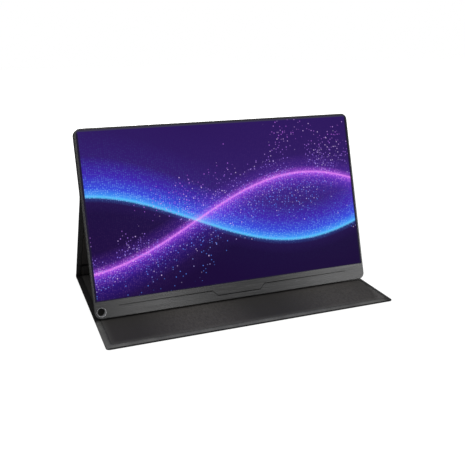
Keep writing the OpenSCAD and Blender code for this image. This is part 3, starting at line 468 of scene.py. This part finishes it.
def screen_material():
    """Polariser film with an anti-glare coat over a lit picture: soft glow, no hard reflection."""
    settings = bpy.context.scene.screen_settings
    material, tree = new_material("Polariser film, anti-glare")
    uv = add(tree, "UVMap", uv_map="Picture")
    u = add(tree, "SeparateXYZ", {"Vector": uv})
    v = u.node.outputs["Y"]
    fall, fall_light = ribbon(
        tree, u, v, middle=0.42, swing=0.20, pace=2.2, start=0.15, stops=FALLING_RIBBON)
    rise, rise_light = ribbon(
        tree, u, v, middle=0.40, swing=-0.25, pace=2.05, start=0.25, stops=RISING_RIBBON)
    above = add(tree, "MapRange", {"Value": fall, "From Min": -0.1, "From Max": 0.12})
    field = add(tree, "Mix", {"Factor": above, "A": settings.lower, "B": settings.upper}, data_type="RGBA")
    picture = field
    for light in (fall_light, rise_light):
        picture = add(tree, "Mix", {
            "Factor": 1.0, "A": picture, "B": light}, data_type="RGBA", blend_type="SCREEN")
    # Particles in rows that follow each ribbon, thick and light where it glows
    for height, light, pale in ((fall, fall_light, "#7fb4ff"), (rise, rise_light, "#e59cff")):
        row = add(tree, "Math", {0: height, 1: 1.2}, operation="MULTIPLY")
        flow = add(tree, "CombineXYZ", {"X": u, "Y": row})
        cells = add(tree, "TexVoronoi", {
            "Vector": flow, "Scale": settings.dots, "Randomness": 0.5}, voronoi_dimensions="2D")
        chance = add(tree, "SeparateColor", {"Color": cells.node.outputs["Color"]})
        dot = add(tree, "MapRange", {
            "Value": cells, "From Min": 0.24, "From Max": 0.4, "To Min": 1.0, "To Max": 0.0})
        bright = add(tree, "MapRange", {"Value": add(tree, "RGBToBW", {"Color": light}), "From Max": 0.16})
        varied = add(tree, "MapRange", {"Value": chance, "From Min": 0.2, "To Min": 0.05, "To Max": 0.95})
        bright = add(tree, "Math", {0: bright, 1: varied}, operation="MULTIPLY")
        shown = add(tree, "Math", {0: dot, 1: bright}, operation="MULTIPLY")
        picture = add(tree, "Mix", {"Factor": shown, "A": picture, "B": srgb(pale)}, data_type="RGBA")
    # Loose sparks that drift off the ribbons
    drift = add(tree, "TexNoise", {"Vector": uv, "Scale": 3.0, "Detail": 5.0}, noise_dimensions="2D")
    drift = add(tree, "MapRange", {"Value": drift, "From Min": 0.4, "From Max": 0.6})
    away = add(tree, "Math", {0: rise}, operation="ABSOLUTE")
    near = add(tree, "MapRange", {"Value": away, "From Max": 0.38, "To Min": 0.7, "To Max": 0.0})
    loose = add(tree, "Math", {0: near, 1: drift}, operation="MULTIPLY")
    above = add(tree, "MapRange", {"Value": rise, "From Min": -0.15, "From Max": 0.25})
    tint = add(tree, "Mix", {"Factor": above, "A": srgb("#5f8dff"), "B": srgb("#c270f2")}, data_type="RGBA")
    for density, size in ((0.8, 0.3), (0.45, 0.17)):
        cells = add(tree, "TexVoronoi", {
            "Vector": uv, "Scale": settings.dots * density, "Randomness": 0.9}, voronoi_dimensions="2D")
        chance = add(tree, "SeparateColor", {"Color": cells.node.outputs["Color"]})
        lit = add(tree, "Math", {0: chance, 1: loose}, operation="LESS_THAN")
        dot = add(tree, "MapRange", {
            "Value": cells, "From Min": size * 0.5, "From Max": size, "To Min": 1.0, "To Max": 0.0})
        dot = add(tree, "Math", {0: lit, 1: dot}, operation="MULTIPLY")
        bright = add(tree, "MapRange", {"Value": chance.node.outputs["Blue"], "To Min": 0.1, "To Max": 0.8})
        shown = add(tree, "Math", {0: dot, 1: bright}, operation="MULTIPLY")
        paler = add(tree, "MapRange", {"Value": chance.node.outputs["Green"], "From Min": 0.6})
        pale = add(tree, "Mix", {"Factor": paler, "A": tint, "B": srgb("#e9ccff")}, data_type="RGBA")
        picture = add(tree, "Mix", {"Factor": shown, "A": picture, "B": pale}, data_type="RGBA")
    # Black border round the picture, with a painted highlight along its top edge
    mask = 1.0
    for place, limit, edge in ((u, 0.0, 0.004), (v, 0.0, 0.004), (u, PICTURE_WIDE, -0.004), (v, 1.0, -0.004)):
        side = add(tree, "MapRange", {"Value": place, "From Min": limit, "From Max": limit + edge})
        mask = add(tree, "Math", {0: mask, 1: side}, operation="MULTIPLY")
    top = add(tree, "MapRange", {"Value": v, "From Min": 0.985})
    black = add(tree, "Mix", {"Factor": top, "A": srgb("#1f1934"), "B": srgb("#3b3650")}, data_type="RGBA")
    shown = add(tree, "Mix", {"Factor": mask, "A": black, "B": picture}, data_type="RGBA")
    place = add(tree, "TexCoord", out="Object")
    haze = add(tree, "TexNoise", {"Vector": place, "Scale": 1 / (0.8 * MM), "Detail": 2.0})
    rough = add(tree, "MapRange", {
        "Value": haze, "From Min": 0.3, "From Max": 0.7, "To Min": 0.32, "To Max": 0.4})
    shader = add(tree, "BsdfPrincipled", {
        "Base Color": srgb("#020203"), "Roughness": rough, "Specular IOR Level": 0.02,
        "Emission Color": shown, "Emission Strength": settings.light})
    add(tree, "OutputMaterial", {"Surface": shader})
    return material


MATERIALS = {}


def material_of(slot):
    """The material of one of the record's slots, made when it is first needed."""
    if slot not in MATERIALS:
        make, *details = FINISHES[slot]
        MATERIALS[slot] = make(*details)
    return MATERIALS[slot]


# What makes each slot's material. A metal's name, colour and lowest roughness follow, or a moulded stuff's
# name, colour, lowest roughness, spacing and depth of its texture, IOR and how clear it is.
FINISHES = {
    "cover_leather": (leather_material,),
    "cover_lining": (lining_material,),
    "front_paint": (paint_material,),
    "shell_paint": (anodised_material,),
    "bright_ring": (ring_material,),
    "screen_face": (screen_material,),
    # Sprayed like the front frame, but not brushed: even and satin
    "key_paint": (moulded_material, "ABS keys, painted satin", "#2c2c2e", 0.34, 0.9 * MM),
    # Grey fibres pressed flat: dull and mottled
    "cover_board": (moulded_material, "Fibre board, pressed", "#8f8574", 0.85, 0.8 * MM),
    # Bright plating on a sintered block
    "magnet": (metal_material, "Nickel-plated magnet", "#b4b4b8", 0.28),
    # Bare sheet, dulled in the press
    "tray_metal": (metal_material, "Aluminium tray, stamped", "#b2b6bb", 0.4),
    # Zinc plating: grey and fairly bright
    "screw_steel": (metal_material, "Steel screws, plated", "#8d9094", 0.3),
    # Nickel plating on drawn sheet: bright
    "socket_steel": (metal_material, "Steel socket shells, plated", "#b4b7ba", 0.25),
    # Glossy, and dark because its polarisers are crossed without a picture
    "cell_glass": (moulded_material, "Display glass, polished", "#20252c", 0.06, 8 * MM, 0.0),
    # White and matt, because it scatters what it lets through
    "diffuser_film": (moulded_material, "White film and moulding", "#e6e6e2", 0.6, 0.5 * MM),
    # Clear and glossy from a polished mould
    "acrylic_guide": (
        moulded_material, "Acrylic, moulded clear", "#dbe6ea", 0.1, 1.2 * MM, TEXTURE_DEPTH, 1.49, 0.6),
    # Pale yellow under a soft shine
    "led_phosphor": (moulded_material, "Phosphor under silicone", "#efe2a0", 0.4, 0.4 * MM),
    # Lacquer that flowed over the tracks: smooth and blue
    "circuit_board": (moulded_material, "Glass epoxy, solder mask", "#174a63", 0.28, 1.6 * MM),
    # Amber, smooth from the casting drum
    "flex_film": (moulded_material, "Polyimide film", "#a87333", 0.3, 1 * MM),
    # Dark filled resin, dull from a spark-eroded mould
    "chip_epoxy": (moulded_material, "Epoxy package, moulded", "#26282a", 0.55, 0.4 * MM),
    # Dyed through, with the mould's fine even texture
    "black_plastic": (moulded_material, "Polyamide, moulded black", "#28292b", 0.45, 0.6 * MM),
    # Soft red skin with a dull shine
    "lead_insulation": (moulded_material, "Silicone insulation", "#9c2f2f", 0.4, 0.8 * MM),
    # Clear, a little milky so that it spreads its light
    "lens_plastic": (
        moulded_material, "Polycarbonate light pipe", "#dadfe2", 0.12, 2 * MM, TEXTURE_DEPTH, 1.58, 0.5),
}


def dress(slots):
    """Gives the CAD nodes of these slots their materials."""
    for node, slot in SLOTS.items():
        if slot in slots:
            mesh = frame["nodes"][node].data
            mesh.materials.clear()
            mesh.materials.append(material_of(slot))


# Meshes

SHARP = 32  # degrees from which an edge is left sharp
ROUND_STEPS = 8  # strips in a rounded corner or fold


def finish_piece(name, bm, place, bodies, slot, node, crease=None):
    """Makes the piece's object in the frame, smooths it, ties it to its body, or to two across a crease,
    and lets it stand for the CAD node."""
    bmesh.ops.recalc_face_normals(bm, faces=bm.faces)
    bm.transform(place)
    mesh = bpy.data.meshes.new(name)
    bm.to_mesh(mesh)
    bm.free()
    mesh.polygons.foreach_set("use_smooth", [True] * len(mesh.polygons))
    mesh.set_sharp_from_angle(angle=math.radians(SHARP))
    mesh.materials.append(material_of(slot))
    piece = bpy.data.objects.new(name, mesh)
    bpy.context.scene.collection.objects.link(piece)
    weighted = piece.modifiers.new("Flat faces stay flat", "WEIGHTED_NORMAL")
    weighted.keep_sharp = True
    if crease:
        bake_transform(piece, *bodies, start=crease[0], end=crease[1])
    else:
        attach(piece, bodies[0])
    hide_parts(node)


def span(face):
    """Lowest and highest corner of a face."""
    points = [v.co for v in face.verts]
    return Vector(map(min, zip(*points))), Vector(map(max, zip(*points)))


def fit(face, lo, hi, y):
    """Moves a face's corners so that it fills lo to hi at height y and keeps its shape."""
    was_lo, was_hi = span(face)
    for v in face.verts:
        for i in (0, 2):
            v.co[i] = lo[i] + (v.co[i] - was_lo[i]) * (hi[i] - lo[i]) / (was_hi[i] - was_lo[i])
        v.co.y = y


def terrace(bm, face, lo, hi, rows, free):
    """Builds steps from a face, and returns the last. A row is (inset at free edges, inset at creased ends,
    height) and perhaps its share of the painted highlight, and free says whether the low and the high end are
    free."""
    for edge_in, crease_in, y, *highlight in rows:
        if any(len(e.link_faces) < 2 for e in face.edges):
            made = bmesh.ops.extrude_face_region(bm, geom=[face])
            face = next(g for g in made["geom"] if isinstance(g, bmesh.types.BMFace))
        else:
            bmesh.ops.inset_individual(bm, faces=[face], thickness=0, depth=0)
        low = Vector((edge_in, 0, edge_in if free[0] else crease_in))
        high = Vector((edge_in, 0, edge_in if free[1] else crease_in))
        fit(face, lo + low, hi - high, y)
        for v in face.verts:
            v[bm.verts.layers.float[PAINTED_HIGHLIGHT]] = highlight[0] if highlight else 0
    return face


def quarter(radius, steps):
    """Points of a quarter round: (how far in, how far up)."""
    turns = [math.pi / 2 * i / steps for i in range(steps + 1)]
    return [(radius * (1 - math.cos(t)), radius * math.sin(t)) for t in turns]


def cap(lo, hi, y, corners, inset=0.0):
    """A mesh that holds one flat face from lo to hi at height y, its corners rounded at either end."""
    bm = bmesh.new()
    bm.verts.layers.float.new(PAINTED_HIGHLIGHT)
    bmesh.ops.create_grid(bm, x_segments=1, y_segments=1, size=0.5)
    bmesh.ops.rotate(bm, verts=bm.verts, matrix=Matrix.Rotation(math.pi / 2, 3, "X"))
    bm.faces.ensure_lookup_table()
    fit(bm.faces[0], lo, hi, y)
    for end, radius in zip((lo.z, hi.z), corners):
        if radius > 0:
            bmesh.ops.bevel(
                bm, geom=[v for v in bm.verts if abs(v.co.z - end) < 1e-6], offset=radius,
                offset_type="OFFSET", segments=ROUND_STEPS, profile=0.5, affect="VERTICES", material=-1)
    bm.faces.ensure_lookup_table()
    edges = [Vector((inset, 0, inset if radius > 0 else 0)) for radius in corners]
    fit(bm.faces[0], lo + edges[0], hi - edges[1], y)
    return bm, bm.faces[0]


def leather_panel(name, place, node, body, corners, valley=None, highlight=0.0):
    """A board panel wrapped in leather, whose border is pressed thinner towards its free edges, with a bed
    for each sheet of lining. An end without a corner radius is creased. Returns the beds' corners."""
    cover = bpy.context.scene.cover_settings
    lo, hi = local_box(node, place)
    free = [radius > 0 for radius in corners]
    # The outer face's edge is rounded by rim and the border's by soft, and low is the border's pressed edge
    rim, soft, low = 0.8 * MM, 0.4 * MM, lo.y + cover.drop
    bm, face = cap(lo, hi, hi.y, corners, rim)
    rows = [(rim - up, 0, hi.y - inset) for inset, up in quarter(rim, 4)[1:]]
    rows += [(inset, 0, low + soft - up, 0.9 * highlight) for inset, up in quarter(soft, 3)]
    face = terrace(bm, face, lo, hi, rows, free)
    faces = [face]
    # A pressed line parts the face in two, each with a bed of its own
    if valley is not None:
        for z in (valley - cover.valley / 2, valley + cover.valley / 2):
            geometry = dict.fromkeys(g for f in faces for g in (f, *f.edges, *f.verts))
            cut = bmesh.ops.bisect_plane(bm, geom=list(geometry), plane_co=(0, 0, z), plane_no=(0, 0, 1))
            faces = list(dict.fromkeys(g for g in cut["geom"] if isinstance(g, bmesh.types.BMFace)))
        faces = [f for f in faces if abs(f.calc_center_median().z - valley) > cover.valley]
    width = cover.border - soft
    slope = cover.drop / width
    # The border thickens towards the bed. A row says how far it is from there, how far in from a crease and how
    # much painted highlight it takes, and the rows after these go over the border's lip and down into the bed.
    rows = [(width - back, end, lo.y + slope * back, highlight * much) for back, end, much in (
        (width - 1.2 * MM, 0, 1.0), (3.6 * MM, 0, 1.0), (1.6 * MM, 0, 0.85), (0.6 * MM, 0.08 * MM, 0.6))]
    rows += [
        (width, 0.35 * MM, lo.y, highlight * 0.5),
        (width + 0.2 * MM, cover.crease_border, lo.y, highlight * 0.4),
        (width + 0.4 * MM, cover.crease_border + 0.2 * MM, lo.y + 0.1 * MM, highlight * 0.3),
        (width + 0.5 * MM, cover.crease_border + 0.3 * MM, lo.y + cover.recess),
    ]
    beds = []
    for board in faces:
        beds.append(span(terrace(bm, board, *span(board), rows, free)))
    finish_piece(name, bm, place, [body], "cover_leather", node)
    return beds


def lining_sheets(name, place, node, body, beds, corners):
    """Thin lining glued into the beds of a panel, with its edges softly rounded."""
    cover = bpy.context.scene.cover_settings
    whole = bmesh.new()
    gap = 0.08 * MM
    thick = cover.recess - 0.05 * MM
    # Where a row has a fourth number, it is the row's share of the painted highlight along the edge
    rows = [
        (gap, gap, -thick + 0.15 * MM, 1.0),
        (gap + 0.05 * MM, gap + 0.05 * MM, -thick + 0.05 * MM, 1.0),
        (gap + 0.2 * MM, gap + 0.2 * MM, -thick, 1.0),
        (2 * MM, 1 * MM, -thick, 0.6),
        (6 * MM, 2 * MM, -thick),
    ]
    for lo, hi in beds:
        bm, face = cap(lo, hi, hi.y, corners, gap)
        steps = [(edge_in, crease_in, lo.y + y, *highlight) for edge_in, crease_in, y, *highlight in rows]
        terrace(bm, face, lo, hi, steps, [radius > 0 for radius in corners])
        spare = bpy.data.meshes.new("Lining sheet")
        bm.to_mesh(spare)
        bm.free()
        whole.from_mesh(spare)
        bpy.data.meshes.remove(spare)
    finish_piece(name, whole, place, [body], "cover_lining", node)


def crease_web(name, node, near, far, bodies, gaps, faces, half, turn):
    """Leather that bridges a crease: flat where it is tucked into each panel, bent between.

    near and far are the two panels' frames at the crease, gaps the distances to their ends, faces the
    heights of the web's two faces above the panels' mid planes, half its half length along the crease,
    and turn the angle between the panels."""
    tuck = 3 * MM
    ups = [place.to_3x3() @ Vector((0, 0, 1)) for place in (near, far)]
    outs = [place.to_3x3() @ Vector((0, 1, 0)) for place in (near, far)]
    pivot = far.translation
    left = X * -half
    bm = bmesh.new()
    rows = []
    for height in faces:
        mitre = pivot + left + (outs[0] + outs[1]) * height / (1 + outs[0].dot(outs[1]))
        ends = [pivot + left + outs[0] * height - ups[0] * (gaps[0] + tuck),
                pivot + left + outs[1] * height + ups[1] * (gaps[1] + tuck)]
        rows.append([bm.verts.new(p) for p in (ends[0], mitre, ends[1])])
    for i in (0, 1):
        bm.faces.new((rows[0][i], rows[0][i + 1], rows[1][i + 1], rows[1][i]))
    made = bmesh.ops.extrude_face_region(bm, geom=list(bm.faces) + list(bm.edges))
    moved = [g for g in made["geom"] if isinstance(g, bmesh.types.BMVert)]
    bmesh.ops.translate(bm, vec=X * 2 * half, verts=moved)
    for height, row in zip(faces, rows):
        folds = [
            e for e in row[1].link_edges if abs((e.verts[0].co - e.verts[1].co).normalized().dot(X)) > 0.99]
        bmesh.ops.bevel(
            bm, geom=folds, offset=abs(height) * math.tan(turn / 2), offset_type="OFFSET",
            segments=ROUND_STEPS, profile=0.5, affect="EDGES", material=-1)
    bend = (ups[0] + ups[1]).normalized() * 1.5 * MM  # how far it bends to either side of the crease
    crease = (pivot - bend, pivot + bend)
    finish_piece(name, bm, Matrix.Identity(4), bodies, "cover_leather", node, crease)


# Operators


class MONITOR_OT_base_panel(bpy.types.Operator):
    """Base panel that lies on the table: leather, and the lining in its bed"""

    bl_idname = "monitor.base_panel"
    bl_label = "Base panel"

    def execute(self, context):
        corners = (context.scene.cover_settings.low_corner, 0.0)
        beds = leather_panel("base_leather", BASE, "base_skin", "base_cover", corners, highlight=1.0)
        lining_sheets("base_lining_sheet", BASE, "base_lining", "base_cover", beds, corners)
        return {"FINISHED"}


class MONITOR_OT_prop_panel(bpy.types.Operator):
    """Prop panel between the two folds, with a pressed line across it"""

    bl_idname = "monitor.prop_panel"
    bl_label = "Prop panel"

    def execute(self, context):
        corners = (0.0, 0.0)
        beds = leather_panel(
            "prop_leather", PROP, "prop_skin", "prop", corners, context.scene.cover_settings.valley_at)
        lining_sheets("prop_lining_sheets", PROP, "prop_lining", "prop", beds, corners)
        return {"FINISHED"}


class MONITOR_OT_back_panel(bpy.types.Operator):
    """Back panel that holds the monitor by its magnets"""

    bl_idname = "monitor.back_panel"
    bl_label = "Back panel"

    def execute(self, context):
        corners = (0.0, context.scene.cover_settings.high_corner)
        beds = leather_panel("back_leather", BACK, "back_skin", "back_panel", corners)
        lining_sheets("back_lining_sheet", BACK, "back_lining", "back_panel", beds, corners)
        return {"FINISHED"}


class MONITOR_OT_creases(bpy.types.Operator):
    """Leather that bends where the panels fold"""

    bl_idname = "monitor.creases"
    bl_label = "Creases"

    def execute(self, context):
        cover = context.scene.cover_settings
        lip = 0.2 * MM  # how far the web lies under the skins' outer faces
        base_end = -local_box("base_skin", BASE)[1].z
        prop_lo, prop_hi = local_box("prop_skin", PROP)
        half = prop_hi.x
        skin = prop_hi.y - lip
        crease_web("spine_leather", "spine_roll", BASE, PROP, ("base_cover", "prop"),
                   (base_end, prop_lo.z), (skin, skin - cover.web), half, SPINE_FOLD)
        prop_end = (MIDDLE - SPINE).length - prop_hi.z
        prop_here = panel_place(MIDDLE, PROP_UP, Vector((0, PROP_UP.z, -PROP_UP.y)))
        back_lo = local_box("back_skin", BACK)[0]
        crease_web("middle_leather", "middle_roll", prop_here, BACK, ("prop", "back_panel"),
                   (prop_end, back_lo.z), (skin, skin - cover.web), half, MIDDLE_FOLD)
        return {"FINISHED"}


class MONITOR_OT_screen(bpy.types.Operator):
    """Lit screen with rounded upper corners and a black border"""

    bl_idname = "monitor.screen"
    bl_label = "Screen"

    def execute(self, context):
        screen = context.scene.screen_settings
        lo, hi = local_box("screen_sheet", BACK)
        corners = (0.4 * MM, screen.corner)
        bm, face = cap(lo, hi, hi.y, corners)
        edge = 0.12 * MM
        rows = [(inset, 0, lo.y + edge - up) for inset, up in quarter(edge, 2)]
        terrace(bm, face, lo, hi, rows, [True, True])
        picture = bm.loops.layers.uv.new("Picture")
        low = Vector((lo.x + screen.side, 0, lo.z + screen.low))
        high = Vector((hi.x - screen.side, 0, hi.z - screen.top))
        for f in bm.faces:
            for loop in f.loops:
                place = (loop.vert.co - low) / (high.z - low.z)
                loop[picture].uv = (place.x, place.z)
        finish_piece("lit_screen", bm, BACK, ["monitor"], "screen_face", "screen_sheet")
        return {"FINISHED"}


class MONITOR_OT_casing(bpy.types.Operator):
    """Painted front frame, anodised rear shell, ring, keys and sockets"""

    bl_idname = "monitor.casing"
    bl_label = "Casing"

    def execute(self, context):
        dress(("front_paint", "key_paint", "shell_paint", "bright_ring", "socket_steel", "black_plastic",
               "lens_plastic"))
        return {"FINISHED"}


class MONITOR_OT_inside(bpy.types.Operator):
    """Finishes of what the casing and the panels hold"""

    bl_idname = "monitor.inside"
    bl_label = "Inside"

    def execute(self, context):
        dress(("cover_board", "magnet", "cell_glass", "diffuser_film", "acrylic_guide", "tray_metal",
               "led_phosphor", "circuit_board", "flex_film", "chip_epoxy", "screw_steel", "lead_insulation"))
        return {"FINISHED"}


# The photograph's camera: its place, and how far it is turned to the side and looks down
CAMERA_AT = Vector((-273.36, -729.70, 333.40)) * MM
CAMERA_TURN, CAMERA_FALL = math.radians(-21.034), math.radians(18.237)
CAMERA_LENS, CAMERA_SENSOR = 50.265, 36  # millimetres, as a camera has them
# Each light's name, setting, place, what it is aimed at, and its size across and up, in metres
OBJECT_MIDDLE = (0, 0, 0.1)
LIGHTS = (
    ("Front light", "front", (-0.35, -1.2, 1.6), OBJECT_MIDDLE, (1.2, 0.9)),
    ("Back light", "back", (0.3, 1.9, 0.8), OBJECT_MIDDLE, (0.9, 0.9)),
    ("Left strip", "left_strip", (0.215, -1.458, 0.357), (-0.118, -0.04, 0.02), (0.2, 0.5)),
    ("Right strip", "right_strip", (0.91, -1.26, 0.408), (0.14, -0.04, 0.02), (0.38, 0.5)),
)
FLOOR_REACH = 4  # metres from the middle to each edge


def area_light(name, place, aim, size, watts):
    light = bpy.data.lights.new(name, "AREA")
    light.shape, light.size, light.size_y, light.energy = "RECTANGLE", size[0], size[1], watts
    lamp = bpy.data.objects.new(name, light)
    lamp.location = place
    lamp.rotation_mode = "QUATERNION"
    lamp.rotation_quaternion = (Vector(place) - Vector(aim)).to_track_quat("Z", "Y")
    bpy.context.scene.collection.objects.link(lamp)


class MONITOR_OT_studio(bpy.types.Operator):
    """Camera, lights, white surroundings and floor"""

    bl_idname = "monitor.studio"
    bl_label = "Studio"

    def execute(self, context):
        scene, studio = context.scene, context.scene.studio_settings
        scene.view_settings.view_transform = "Standard"
        view = bpy.data.cameras.new("Camera")
        view.lens, view.sensor_width = CAMERA_LENS, CAMERA_SENSOR
        view.clip_start, view.clip_end = 0.05, 50
        camera = bpy.data.objects.new("Camera", view)
        level = math.cos(CAMERA_FALL)
        back = Vector((math.sin(CAMERA_TURN) * level, -math.cos(CAMERA_TURN) * level, math.sin(CAMERA_FALL)))
        camera.location = CAMERA_AT
        camera.rotation_mode = "QUATERNION"
        camera.rotation_quaternion = (-back).to_track_quat("-Z", "Y")
        scene.collection.objects.link(camera)
        scene.camera = camera
        for name, setting, place, aim, size in LIGHTS:
            area_light(name, place, aim, size, getattr(studio, setting))
        self.surroundings(scene, studio)
        self.floor(scene, studio)
        return {"FINISHED"}

    def surroundings(self, scene, studio):
        """White to the camera, and of other strengths as light and in reflections."""
        world = bpy.data.worlds.new("White studio")
        world.use_nodes = True
        tree = world.node_tree
        tree.nodes.clear()
        path = add(tree, "LightPath", out="Is Camera Ray")
        clear = path.node.outputs["Is Transmission Ray"]
        seen = add(tree, "Math", {0: path, 1: clear}, operation="MAXIMUM")
        around = add(tree, "MapRange", {
            "Value": path.node.outputs["Is Glossy Ray"], "To Min": studio.world, "To Max": studio.gloss})
        strength = add(tree, "Mix", {"Factor": seen, "A": around, "B": 1.0})
        light = add(tree, "Background", {"Color": srgb("#ffffff"), "Strength": strength})
        add(tree, "OutputWorld", {"Surface": light})
        scene.world = world

    def floor(self, scene, studio):
        """Pale paper: matt, and white to the camera apart from the shadow's share near the object."""
        bm = bmesh.new()
        bmesh.ops.create_grid(bm, x_segments=1, y_segments=1, size=FLOOR_REACH)
        mesh = bpy.data.meshes.new("Floor")
        bm.to_mesh(mesh)
        bm.free()
        material, tree = new_material("Studio paper, matt")
        place = add(tree, "TexCoord", out="Object")
        fibre = add(tree, "TexNoise", {"Vector": place, "Scale": 1 / (3 * MM), "Detail": 2.0})
        paper = add(tree, "Mix", {
            "Factor": fibre, "A": srgb("#a2a2a2"), "B": srgb("#aaaaaa")}, data_type="RGBA")
        plain = add(tree, "BsdfDiffuse", {"Color": paper})
        shade = add(tree, "BsdfDiffuse", {"Color": [studio.floor_shade] * 3 + [1]})
        reach = add(tree, "VectorMath", {0: place}, out="Value", operation="LENGTH")
        light = add(tree, "MapRange", {
            "Value": reach, "From Min": 0.5, "To Min": 1 - 0.5 * studio.floor_shade})
        glow = add(tree, "Emission", {"Color": srgb("#ffffff"), "Strength": light})
        shown = add(tree, "AddShader", {0: shade, 1: glow})
        camera = add(tree, "LightPath", out="Is Camera Ray")
        add(tree, "OutputMaterial", {"Surface": add(tree, "MixShader", {0: camera, 1: plain, 2: shown})})
        mesh.materials.append(material)
        floor = bpy.data.objects.new("Floor", mesh)
        scene.collection.objects.link(floor)


class MONITOR_PT_panel(bpy.types.Panel):
    """Buttons that build the object, in order"""

    bl_idname = "MONITOR_PT_panel"
    bl_label = "Portable monitor"
    bl_space_type = "VIEW_3D"
    bl_region_type = "UI"
    bl_category = "Monitor"

    def draw(self, context):
        for operator in OPERATORS:
            self.layout.operator(operator.bl_idname)
        for group in SETTINGS:
            settings = getattr(context.scene, group)
            box = self.layout.box()
            for name in settings.__class__.__annotations__:
                box.prop(settings, name)


SETTINGS = {
    "cover_settings": CoverSettings,
    "casing_settings": CasingSettings,
    "screen_settings": ScreenSettings,
    "studio_settings": StudioSettings,
}
OPERATORS = (
    MONITOR_OT_base_panel,
    MONITOR_OT_prop_panel,
    MONITOR_OT_back_panel,
    MONITOR_OT_creases,
    MONITOR_OT_screen,
    MONITOR_OT_casing,
    MONITOR_OT_inside,
    MONITOR_OT_studio,
)


def register():
    for group in (*SETTINGS.values(), *OPERATORS, MONITOR_PT_panel):
        bpy.utils.register_class(group)
    for name, group in SETTINGS.items():
        setattr(bpy.types.Scene, name, bpy.props.PointerProperty(type=group))


def unregister():
    for name in SETTINGS:
        delattr(bpy.types.Scene, name)
    for group in reversed((*SETTINGS.values(), *OPERATORS, MONITOR_PT_panel)):
        bpy.utils.unregister_class(group)


def main():
    register()
    for operator in OPERATORS:
        group, name = operator.bl_idname.split(".")
        if getattr(getattr(bpy.ops, group), name)() != {"FINISHED"}:
            raise RuntimeError(operator.bl_idname + " didn't finish")


if __name__ == "__main__":
    main()
